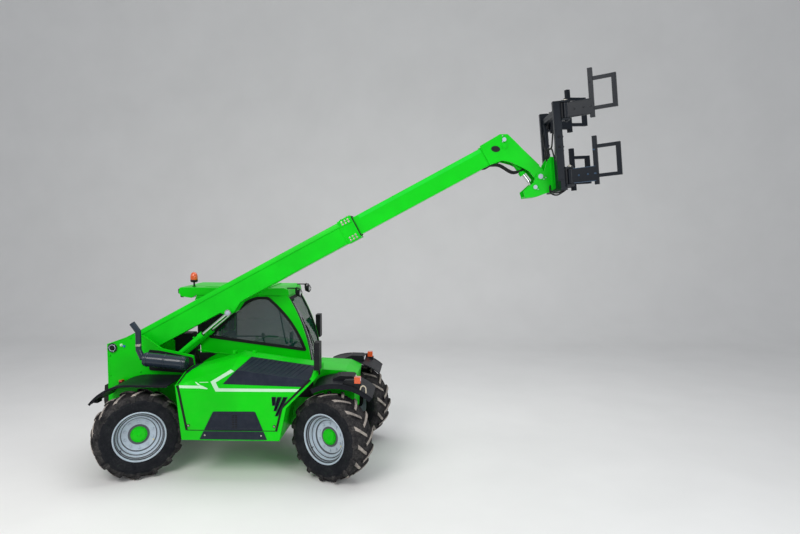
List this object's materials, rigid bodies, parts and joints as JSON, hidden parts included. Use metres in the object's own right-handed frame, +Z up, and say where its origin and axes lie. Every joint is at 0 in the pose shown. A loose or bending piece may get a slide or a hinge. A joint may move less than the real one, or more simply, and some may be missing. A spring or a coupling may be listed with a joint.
{
  "type": "telehandler",
  "caption": "Side-engine telescopic handler with a side cab, a long lifting and extending boom, crab steering and a bale clamp on its carriage.",
  "frame": {"origin": "on the ground, under the middle of the whole machine's length and width, boom raised as in the picture", "axes": "+X forwards, towards the clamp; +Y to the machine's left, its cab side; +Z up"},
  "size_m": [7.5849, 2.7322, 5.6358],
  "materials": {
    "green_paint": "satin",
    "charcoal_paint": "satin",
    "charcoal_plastic": "matte",
    "silver_paint": "satin",
    "tyre_rubber": "matte",
    "window_glass": "gloss",
    "rod_chrome": "polished",
    "pin_steel": "satin",
    "seat_fabric": "matte",
    "amber_lens": "gloss",
    "black_iron": "matte"
  },
  "bodies": {
    "chassis": {"frame": "green_paint", "front_frame": "green_paint", "axle_front": "charcoal_paint", "axle_rear": "charcoal_paint", "counterweight": "charcoal_paint", "rear_tank": "charcoal_paint", "engine": "black_iron", "engine_bay": "green_paint", "muffler": "charcoal_paint", "exhaust_pipe": "charcoal_paint", "hydraulic_tank": "charcoal_paint", "cab_shell": "green_paint", "cab_roof": "green_paint", "cab_glass": "window_glass", "seat": "seat_fabric", "controls": "charcoal_plastic", "beacon": "amber_lens", "work_lamps": "charcoal_plastic", "head_lamps": "charcoal_plastic", "mirrors": "charcoal_plastic", "fenders_front": "charcoal_plastic", "fenders_rear": "charcoal_plastic", "boom_pivot": "pin_steel"},
    "hood": {"engine_hood": "green_paint", "hood_cover": "charcoal_plastic"},
    "door": {"cab_door": "green_paint", "door_glass": "window_glass"},
    "boom": {"boom_outer": "green_paint", "boom_pads": "charcoal_plastic"},
    "boom_extension": {"boom_inner": "green_paint"},
    "lift_barrels": {"lift_barrels": "green_paint"},
    "lift_rods": {"lift_rods": "rod_chrome"},
    "tilt_barrel": {"tilt_barrel": "green_paint"},
    "tilt_rod": {"tilt_rod": "rod_chrome"},
    "carriage": {"carriage": "green_paint", "clamp_frame": "charcoal_paint"},
    "knuckle_front_right": {"knuckle_front_right": "charcoal_paint"},
    "wheel_front_right": {"tyre_front_right": "tyre_rubber", "rim_front_right": "silver_paint"},
    "knuckle_front_left": {"knuckle_front_left": "charcoal_paint"},
    "wheel_front_left": {"tyre_front_left": "tyre_rubber", "rim_front_left": "silver_paint"},
    "knuckle_rear_right": {"knuckle_rear_right": "charcoal_paint"},
    "wheel_rear_right": {"tyre_rear_right": "tyre_rubber", "rim_rear_right": "silver_paint"},
    "knuckle_rear_left": {"knuckle_rear_left": "charcoal_paint"},
    "wheel_rear_left": {"tyre_rear_left": "tyre_rubber", "rim_rear_left": "silver_paint"},
    "clamp_arm_upper_right": {"clamp_arm_upper_right": "charcoal_paint"},
    "clamp_arm_upper_left": {"clamp_arm_upper_left": "charcoal_paint"},
    "clamp_arm_lower_right": {"clamp_arm_lower_right": "charcoal_paint"},
    "clamp_arm_lower_left": {"clamp_arm_lower_left": "charcoal_paint"}
  },
  "joints": [
    {"name": "steer_front_right", "type": "hinge", "parent": "chassis", "child": "knuckle_front_right", "pos_m": [-0.072, -0.803, 0.605], "axis": [0, 0, 1], "range_deg": [-5, 65]},
    {"name": "wheel_spin_front_right", "type": "hinge", "parent": "knuckle_front_right", "child": "wheel_front_right", "pos_m": [-0.072, -0.803, 0.605], "axis": [0.5, 0.866, 0], "continuous": true},
    {"name": "steer_front_left", "type": "hinge", "parent": "chassis", "child": "knuckle_front_left", "pos_m": [-0.072, 0.803, 0.605], "axis": [0, 0, 1], "range_deg": [-5, 65]},
    {"name": "wheel_spin_front_left", "type": "hinge", "parent": "knuckle_front_left", "child": "wheel_front_left", "pos_m": [-0.072, 0.803, 0.605], "axis": [0.5, 0.866, 0], "continuous": true},
    {"name": "steer_rear_right", "type": "hinge", "parent": "chassis", "child": "knuckle_rear_right", "pos_m": [-2.932, -0.803, 0.605], "axis": [0, 0, 1], "range_deg": [-65, 5]},
    {"name": "wheel_spin_rear_right", "type": "hinge", "parent": "knuckle_rear_right", "child": "wheel_rear_right", "pos_m": [-2.932, -0.803, 0.605], "axis": [-0.5, 0.866, 0], "continuous": true},
    {"name": "steer_rear_left", "type": "hinge", "parent": "chassis", "child": "knuckle_rear_left", "pos_m": [-2.932, 0.803, 0.605], "axis": [0, 0, 1], "range_deg": [-65, 5]},
    {"name": "wheel_spin_rear_left", "type": "hinge", "parent": "knuckle_rear_left", "child": "wheel_rear_left", "pos_m": [-2.932, 0.803, 0.605], "axis": [-0.5, 0.866, 0], "continuous": true},
    {"name": "boom_lift", "type": "hinge", "parent": "chassis", "child": "boom", "pos_m": [-3.472, -0.12, 1.715], "axis": [0, -1, 0], "range_deg": [-25.5, 35]},
    {"name": "boom_extend", "type": "slide", "parent": "boom", "child": "boom_extension", "axis": [0.8813, 0, 0.4726], "range_m": [-2, 0.3]},
    {"name": "lift_barrel_swing", "type": "hinge", "parent": "chassis", "child": "lift_barrels", "pos_m": [-2.982, -0.12, 1.211], "axis": [0, -1, 0], "range_deg": [-26, 35.5]},
    {"name": "lift_rod_slide", "type": "slide", "parent": "lift_barrels", "child": "lift_rods", "axis": [0.7661, 0, 0.6428], "range_m": [-0.31, 0.43]},
    {"name": "carriage_tilt", "type": "hinge", "parent": "boom_extension", "child": "carriage", "pos_m": [2.80978, -0.12, 4.22657], "axis": [0, -1, 0], "range_deg": [-55, 30]},
    {"name": "tilt_barrel_swing", "type": "hinge", "parent": "boom_extension", "child": "tilt_barrel", "pos_m": [2.29379, -0.12, 4.67043], "axis": [0, -1, 0], "range_deg": [-3, 2]},
    {"name": "tilt_rod_slide", "type": "slide", "parent": "tilt_barrel", "child": "tilt_rod", "axis": [0.5976, 0, -0.8018], "range_m": [-0.153, 0.084]},
    {"name": "clamp_upper_right", "type": "hinge", "parent": "carriage", "child": "clamp_arm_upper_right", "pos_m": [3.08255, -0.6, 5.10168], "axis": [-0.0872, 0, 0.9962], "range_deg": [-20, 40]},
    {"name": "clamp_upper_left", "type": "hinge", "parent": "carriage", "child": "clamp_arm_upper_left", "pos_m": [3.08255, 0.36, 5.10168], "axis": [-0.0872, 0, 0.9962], "range_deg": [-40, 20]},
    {"name": "clamp_lower_right", "type": "hinge", "parent": "carriage", "child": "clamp_arm_lower_right", "pos_m": [3.16151, -0.6, 4.19913], "axis": [-0.0872, 0, 0.9962], "range_deg": [-20, 40]},
    {"name": "clamp_lower_left", "type": "hinge", "parent": "carriage", "child": "clamp_arm_lower_left", "pos_m": [3.16151, 0.36, 4.19913], "axis": [-0.0872, 0, 0.9962], "range_deg": [-40, 20]},
    {"name": "cab_door_swing", "type": "hinge", "parent": "chassis", "child": "door", "pos_m": [-2.158, 1.079, 1.5], "axis": [0, 0, 1], "range_deg": [0, 100]},
    {"name": "engine_hood_lift", "type": "hinge", "parent": "chassis", "child": "hood", "pos_m": [-1.502, -0.434, 1.686], "axis": [-1, 0, 0], "range_deg": [0, 60]}
  ],
  "couplings": [
    {"joint": "steer_front_left", "follows": "steer_front_right", "ratio": 1},
    {"joint": "steer_rear_right", "follows": "steer_front_right", "ratio": -1},
    {"joint": "steer_rear_left", "follows": "steer_front_right", "ratio": -1},
    {"joint": "lift_barrel_swing", "follows": "boom_lift", "ratio": 0.9942},
    {"joint": "lift_rod_slide", "follows": "boom_lift", "m_per_rad": 0.6844},
    {"joint": "tilt_barrel_swing", "follows": "carriage_tilt", "ratio": 0.0461},
    {"joint": "tilt_rod_slide", "follows": "carriage_tilt", "m_per_rad": 0.1577},
    {"joint": "clamp_lower_right", "follows": "clamp_upper_right", "ratio": 1},
    {"joint": "clamp_upper_left", "follows": "clamp_upper_right", "ratio": -1},
    {"joint": "clamp_lower_left", "follows": "clamp_upper_right", "ratio": -1}
  ]
}
